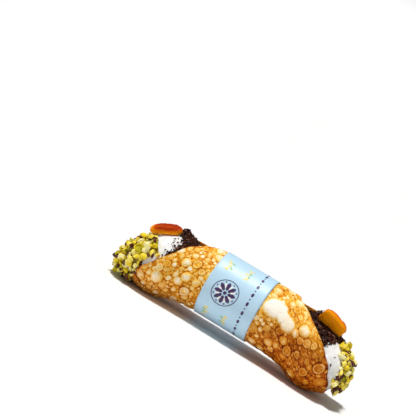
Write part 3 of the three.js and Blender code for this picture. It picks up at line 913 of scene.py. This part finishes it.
def nuts_piece(material):
    heap = Heap()
    for mound, count, seed in ((LEFT_MOUND, LEFT_NUTS, 31), (RIGHT_MOUND, RIGHT_NUTS, 32)):
        add_nuts(heap, nut_places(mound, count, seed, NUT_SPACING), seed + 10, NUT_SINK)
        add_nuts(heap, nut_places(mound, count // 3, seed + 5, TOP_NUT_SPACING), seed + 20, TOP_NUT_SINK)
    piece = heap.piece("pistachios", material, "cream")
    bevel = piece.modifiers.new("worn_edges", "BEVEL")
    bevel.width = WORN_WIDTH
    bevel.segments = 1
    bevel.limit_method = "ANGLE"
    bevel.angle_limit = math.radians(WORN_ANGLE)
    return piece


def crumb_spot(draw, mound, angle):
    """A place on the mound or on the rod behind it, and the way out of the filling there"""
    if draw.uniform() >= ROD_CRUMBS:
        along = draw.uniform(0, CRUMBS_END)
        return mound_point(mound, along, angle), mound_normal(mound, along, angle)
    near, far = ROD_RINGS[:2] if mound["side"] < 0 else ROD_RINGS[:1:-1]
    root, valley = mound_point(mound, 0.0, angle), rod_point(*near, angle)
    share = draw.uniform(0, ROD_REACH)
    place = mix(root, valley, share) if share < 1 else mix(valley, rod_point(*far, angle), share - 1)
    return place, np.array([0, -math.sin(math.radians(angle)), math.cos(math.radians(angle))])


def crumb_places(draw, count, mound):
    """Places for chocolate on the filling, up to the shell's mouth"""
    places, tried = [], 0
    while len(places) < count and tried < CRUMB_TRIES * count:
        tried += 1
        angle = draw.uniform(*CRUMB_ANGLES)
        place, normal = crumb_spot(draw, mound, angle)
        if draw.uniform() > crumb_chance(place[0], angle):
            continue
        turn = (angle - LAP_EDGE) % 360
        covered = min(place[0] - rim(LEFT_MOUTH, turn), rim(RIGHT_MOUTH, turn) - place[0])
        if covered <= CRUMBS_UNDER_SHELL:
            places.append((pressed_in(place[None])[0], normal))
    return places


def chocolate_piece(material):
    heap = Heap()
    for mound, count, seed in ((LEFT_MOUND, LEFT_CRUMBS, 51), (RIGHT_MOUND, RIGHT_CRUMBS, 52)):
        draw = np.random.default_rng(seed)
        for place, normal in crumb_places(draw, count, mound):
            size = CRUMB_SIZE + CRUMB_SIZE_RANGE * draw.uniform() ** CRUMB_SIZE_POWER
            points, faces, _ = rough_chunk(draw, size, CRUMB_STRETCH, CRUMB_CORNERS)
            points = points + place + normal * draw.uniform(0.0, CRUMB_LIFT)
            heap.add(points, faces, draw.beta(1.1, 2.4), [0.0] * len(faces))
    return heap.piece("grated_chocolate", material, "cream")


# Candied peel

PEEL_ROWS, PEEL_COLUMNS = 90, 140
PEEL_SHRINK, PEEL_SAG, PEEL_LUMPS = 0.35, 0.2, 0.05
# Shares of the thickness, and roundness, above and below the middle
RIND_SIDE, FLESH_SIDE = (1.15, 0.8), (0.85, 0.6)


def squared(v, power):
    return np.sign(v) * np.abs(v) ** power


def peel_axes(peel):
    """Unit ways along the peel, across it and out of its rind"""
    long = np.array(peel["long"]) / np.linalg.norm(peel["long"])
    across = np.cross(peel["dome"], long)
    across /= np.linalg.norm(across)
    return long, across, np.cross(long, across)


def peel_block(peel):
    """A squared and slightly cupped block, in its own axes"""
    lat = np.linspace(-math.pi / 2, math.pi / 2, PEEL_ROWS)[:, None]
    lon = np.linspace(0, 2 * math.pi, PEEL_COLUMNS, endpoint=False)[None, :]
    ux, uy, uz = np.cos(lat) * np.cos(lon), np.cos(lat) * np.sin(lon), np.sin(lat) + 0 * lon
    lump = 1 + PEEL_LUMPS * np.sin(3 * ux + peel["at"][0]) + PEEL_LUMPS * np.sin(4.3 * uy - peel["at"][0])
    half_long, half_across, half_thick = peel["half"]
    share, power = (np.where(uz > 0, *sides) for sides in zip(RIND_SIDE, FLESH_SIDE))
    sag = PEEL_SAG * half_thick * (ux ** 2 + uy ** 2)
    return np.stack([
        squared(ux, PEEL_CORNERS) * half_long * lump,
        squared(uy, PEEL_CORNERS) * half_across * lump,
        squared(uz, power) * (half_thick * share) - sag,
    ], -1)


def peel_piece(side, material):
    peel = PEELS[side]
    half_long, _, half_thick = peel["half"]
    long, across, dome = peel_axes(peel)
    at = np.array(peel["at"]) + [0, 0, AXIS_HEIGHT]
    p = peel_block(peel)
    rind = smooth(p[..., 2] / half_thick, -0.5, 0.75)
    if peel["amber_end"]:
        rind *= smooth(p[..., 0] * peel["amber_end"] / half_long, 1.0, 0.55)
    bumps = 0.30 * waves(p, 4.2, 61) + 0.12 * waves(p, 1.6, 62)
    ridges = 0.22 * waves(p * [0.5, 1.0, 2.2], 2.4, 63)
    way = p / np.linalg.norm(p, axis=-1, keepdims=True)
    p = p + way * (bumps * (0.5 + 0.5 * rind) + ridges * (1 - rind) - PEEL_SHRINK)[..., None]
    streak = 0.5 + 0.5 * waves(p * [0.25, 1.0, 1.6], 2.2, 64)
    world = at + p[..., :1] * long + p[..., 1:2] * across + p[..., 2:] * dome
    faces = grid_faces(PEEL_ROWS, PEEL_COLUMNS, close_columns=True)
    return make_piece("peel_" + side, world, faces, material, ["candied_peel_" + side],
                      {"rind": rind, "streak": streak})


# Paper band and its print

BAND_COLUMNS, BAND_ROWS = 260, 33
LAP_STEP = 2
SAG_DEEPEST, SAG_ENDS = 300, (310, 358)


def band_radius(x, turn, extra):
    slack = BAND_SAG * smooth(turn, SINK[0], SAG_DEEPEST) * (1 - smooth(turn, *SAG_ENDS))
    begin, end = BAND_LAP
    lap = smooth(turn, begin, begin + LAP_STEP) * (1 - smooth(turn, end, end + LAP_STEP))
    return tube_radius(x) + BAND_GAP - slack + extra * (1 + lap)


def band_point(x, angle, extra):
    turn = (angle - LAP_EDGE) % 360
    return tube_point(x, angle, band_radius(x, turn, extra))


def band_piece(material):
    turn = np.linspace(0, 360, BAND_COLUMNS, endpoint=False)
    across = np.linspace(-BAND_HALF, BAND_HALF, BAND_ROWS)
    rings = [(x, BAND_PAPER) for x in across] + [(x, 0.0) for x in across[::-1]]
    grid = np.stack([tube_point(x, turn + LAP_EDGE, band_radius(x, turn, extra)) for x, extra in rings])
    faces = grid_faces(len(rings), BAND_COLUMNS, close_rows=True, close_columns=True)
    return make_piece("band", grid, faces, material, ["paper_band"])


PRINT_LIFT = 0.05
PRINT_RADIUS = WAIST_RADIUS + BAND_GAP + BAND_PAPER
ROSETTE_X, ROSETTE_ANGLES, ROSETTE_PETALS = -4.0, (85.0, 245.0), 8
RING_RADIUS, RING_WIDTH, RING_POINTS, EYE_RADIUS = 7.3, 0.45, 97, 1.0
# Where petals and gap petals begin, and the length and width of each
PETAL_START, PETAL, GAP_START, GAP_PETAL = 1.5, (4.6, 2.3), 2.6, (3.0, 1.1)
DOT_RADIUS, DOT_CIRCLE = 0.42, 6.1
DROPS_X, DROP_STEP, DROP = 9.4, 17.0, (2.6, 1.5)
SPRIG_LENGTH, SPRIG_POINTS, STEM_WIDTH, BUD_RADIUS = 8.5, 24, 0.55, 0.75
LEAF, LEAF_TURN = (2.6, 1.2), 0.85
# Angle round the band and way up of each pair of sprigs, and x, heading and bend of the two in a pair
SPRIG_PAIRS = [(24, 1), (146, -1), (-40, 1), (-150, -1)]
SPRIG_PAIR = [(-12.0, 0.5, 1.6), (3.5, 2.6, -1.6)]
SPRIG_LEAVES = [(4, 1), (8, -1), (12, 1), (16, -1), (20, 1)]
INKS = {
    "violet": ((0.045, 0.018, 0.085), (0.06, 0.025, 0.11)),
    "white": ((0.86, 0.86, 0.88), (0.92, 0.92, 0.92)),
    "yellow": ((0.78, 0.62, 0.16), (0.86, 0.74, 0.30)),
    "green": ((0.22, 0.46, 0.22), (0.34, 0.58, 0.30)),
}


class Print:
    """Flat shapes in ink that follow the band: places are x and distance round the band, in millimetres"""

    def __init__(self):
        self.points, self.faces, self.count = [], [], 0

    def patch(self, outline, centre, rings=3):
        outline, centre = np.array(outline, float), np.array(centre, float)
        shares = np.linspace(0, 1, rings + 1)[1:]
        spots = np.concatenate([[centre]] + [centre + (outline - centre) * s for s in shares])
        n = len(outline)
        for c in range(n):
            self.faces.append([self.count, self.count + 1 + c, self.count + 1 + (c + 1) % n])
        for r in range(rings - 1):
            for c in range(n):
                a, b = self.count + 1 + r * n + c, self.count + 1 + r * n + (c + 1) % n
                self.faces.append([a, a + n, b + n, b])
        self.add(spots)

    def add(self, spots):
        angle = np.degrees(spots[:, 1] / PRINT_RADIUS)
        self.points.append(band_point(spots[:, 0], angle, BAND_PAPER + PRINT_LIFT))
        self.count += len(spots)

    def line(self, path, width):
        """A stroke of that width along a path, closed where the path ends where it starts"""
        path = np.array(path, float)
        way = np.gradient(path, axis=0)
        if np.allclose(path[0], path[-1]):
            way[0] = way[-1] = path[1] - path[-2]
        way /= np.linalg.norm(way, axis=1, keepdims=True)
        off = np.stack([-way[:, 1], way[:, 0]], -1) * width / 2
        spots = np.concatenate([path + off, path - off])
        n = len(path)
        for i in range(n - 1):
            a = self.count + i
            self.faces.append([a, a + 1, a + n + 1, a + n])
        self.add(spots)

    def leaf(self, at, way, length, width):
        t = np.linspace(0, 2 * math.pi, 20, endpoint=False)
        along, side = length / 2 * (1 + np.cos(t)), width / 2 * np.sin(t) * np.abs(np.sin(t)) ** 0.3
        c, s = math.cos(way), math.sin(way)
        outline = np.stack([at[0] + c * along - s * side, at[1] + s * along + c * side], -1)
        self.patch(outline, (at[0] + c * length / 2, at[1] + s * length / 2))

    def disc(self, at, radius):
        t = np.linspace(0, 2 * math.pi, 24, endpoint=False)
        self.patch(np.stack([at[0] + radius * np.cos(t), at[1] + radius * np.sin(t)], -1), at)

    def piece(self, name, material):
        return make_piece(name, np.concatenate(self.points), self.faces, material, ["paper_band"])


def round_band(angle):
    return math.radians(angle) * PRINT_RADIUS


def draw_rosette(violet, white, centre):
    x, s = centre

    def spot(radius, way):
        return x + radius * math.cos(way), s + radius * math.sin(way)

    violet.line([spot(RING_RADIUS, way) for way in np.linspace(0, 2 * math.pi, RING_POINTS)], RING_WIDTH)
    for k in range(ROSETTE_PETALS):
        way = 2 * k * math.pi / ROSETTE_PETALS
        between = way + math.pi / ROSETTE_PETALS
        violet.leaf(spot(PETAL_START, way), way, *PETAL)
        white.leaf(spot(GAP_START, between), between, *GAP_PETAL)
        violet.disc(spot(DOT_CIRCLE, between), DOT_RADIUS)
    violet.disc(centre, EYE_RADIUS)


def draw_sprig(yellow, green, at, way, bend):
    """A curved stem with leaves on both sides and a bud at its end"""
    heading = way + bend * np.linspace(0, 1, SPRIG_POINTS)
    steps = np.stack([np.cos(heading), np.sin(heading)], -1) * SPRIG_LENGTH / (SPRIG_POINTS - 1)
    path = np.array(at) + np.cumsum(steps, 0) - steps[0]
    yellow.line(path, STEM_WIDTH)
    for i, side in SPRIG_LEAVES:
        ink = green if side < 0 else yellow
        ink.leaf(path[i], heading[i] + LEAF_TURN * side, *LEAF)
    yellow.disc(path[-1], BUD_RADIUS)


def draw_drops(violet):
    """A row of drops and dots round the band"""
    for angle in np.arange(-170, 180, DROP_STEP):
        s = round_band(angle)
        violet.leaf((DROPS_X, s - DROP[0] / 2), math.pi / 2, *DROP)
        violet.disc((DROPS_X, s + round_band(DROP_STEP / 2)), DOT_RADIUS)


def print_pieces():
    prints = {ink: Print() for ink in INKS}
    for angle in ROSETTE_ANGLES:
        draw_rosette(prints["violet"], prints["white"], (ROSETTE_X, round_band(angle)))
    draw_drops(prints["violet"])
    for angle, up in SPRIG_PAIRS:
        for x, way, bend in SPRIG_PAIR:
            draw_sprig(prints["yellow"], prints["green"], (x, round_band(angle)), way * up, bend * up)
    for ink, colours in INKS.items():
        prints[ink].piece("print_" + ink, ink_material(ink + "_ink", *colours))


# Stage

FLOOR_RADIUS, FLOOR_DROP = 8.0, -0.0002
# Heights in the sky between which the bright horizon fades, and the brightness of both
HORIZON_END, SKY_START = 0.06, 0.14
HORIZON, SKY = (1.1, 1.1, 1.1, 1), (0.20, 0.205, 0.215, 1)
KEY_DIRECTION, KEY_SHARE, KEY_SOFTNESS, KEY_COLOUR = (-0.22, -0.13, 0.96), 1.03, 10, (1.0, 0.99, 0.975)
CLIP = (0.01, 50)


def add_floor():
    s = Shader("pale_floor", Roughness=0.9)
    s.set(Base_Color=s.ramp(s.noise(3, 2), [(0.3, (0.86, 0.86, 0.86)), (0.7, (0.88, 0.88, 0.88))]))
    bpy.ops.mesh.primitive_circle_add(vertices=96, radius=FLOOR_RADIUS, fill_type="NGON",
                                      location=(0, 0, FLOOR_DROP))
    floor = bpy.context.object
    floor.name = "floor"
    floor.data.materials.append(s.material)


def add_world():
    """Soft light from all round, brighter near the horizon, so that the floor runs into a pale backdrop"""
    world = bpy.data.worlds.new("studio")
    bpy.context.scene.world = world
    world.use_nodes = True
    tree = world.node_tree
    place = tree.nodes.new("ShaderNodeTexCoord")
    split = tree.nodes.new("ShaderNodeSeparateXYZ")
    ramp = tree.nodes.new("ShaderNodeValToRGB")
    tree.links.new(place.outputs["Generated"], split.inputs[0])
    tree.links.new(split.outputs["Z"], ramp.inputs["Fac"])
    for element, height, colour in zip(ramp.color_ramp.elements, (HORIZON_END, SKY_START), (HORIZON, SKY)):
        element.position = height
        element.color = colour
    tree.links.new(ramp.outputs["Color"], tree.nodes["Background"].inputs["Color"])
    tree.nodes["Background"].inputs["Strength"].default_value = 1.0


def add_sun(name, direction, share, softness, colour):
    """share is the brightness that a white surface facing the light reaches from it alone"""
    data = bpy.data.lights.new(name, "SUN")
    data.energy = share * math.pi
    data.angle = math.radians(softness)
    data.color = colour
    light = bpy.data.objects.new(name, data)
    light.rotation_euler = Vector(direction).to_track_quat("Z", "Y").to_euler()
    bpy.context.scene.collection.objects.link(light)


def add_camera():
    a, e, roll = (math.radians(v) for v in (CAMERA_AZIMUTH, CAMERA_ELEVATION, CAMERA_ROLL))
    back = Vector((math.sin(a) * math.cos(e), -math.cos(a) * math.cos(e), math.sin(e)))
    level = Vector((math.cos(a), math.sin(a), 0))
    rise = back.cross(level)
    right = level * math.cos(roll) + rise * math.sin(roll)
    up = rise * math.cos(roll) - level * math.sin(roll)
    target = Vector((0, 0, AXIS_HEIGHT))
    eye = target + back * CAMERA_DISTANCE
    aim = (target - right * (TARGET_PIXEL[0] - PICTURE / 2) * MM_PER_PIXEL
           + up * (TARGET_PIXEL[1] - PICTURE / 2) * MM_PER_PIXEL)
    forward = (aim - eye).normalized()
    right = (right - forward * right.dot(forward)).normalized()
    up = right.cross(forward)
    data = bpy.data.cameras.new("camera")
    data.sensor_width = SENSOR
    data.lens = SENSOR * CAMERA_DISTANCE / MM_PER_PIXEL / PICTURE
    data.clip_start, data.clip_end = CLIP
    camera = bpy.data.objects.new("camera", data)
    turned = Matrix((right, up, -forward)).transposed().to_4x4()
    camera.matrix_world = Matrix.Translation((eye + Vector(ORIGIN)) * MM) @ turned
    bpy.context.scene.collection.objects.link(camera)
    bpy.context.scene.camera = camera


add_camera()
add_floor()
add_world()
add_sun("key", KEY_DIRECTION, KEY_SHARE, KEY_SOFTNESS, KEY_COLOUR)
bpy.context.scene.view_settings.view_transform = "Standard"

shell_piece(pastry_material())
cream_piece(cream_material())
nuts_piece(nut_material())
chocolate_piece(chocolate_material())
peel = peel_material()
peel_piece("left", peel)
peel_piece("right", peel)
band_piece(paper_material())
print_pieces()
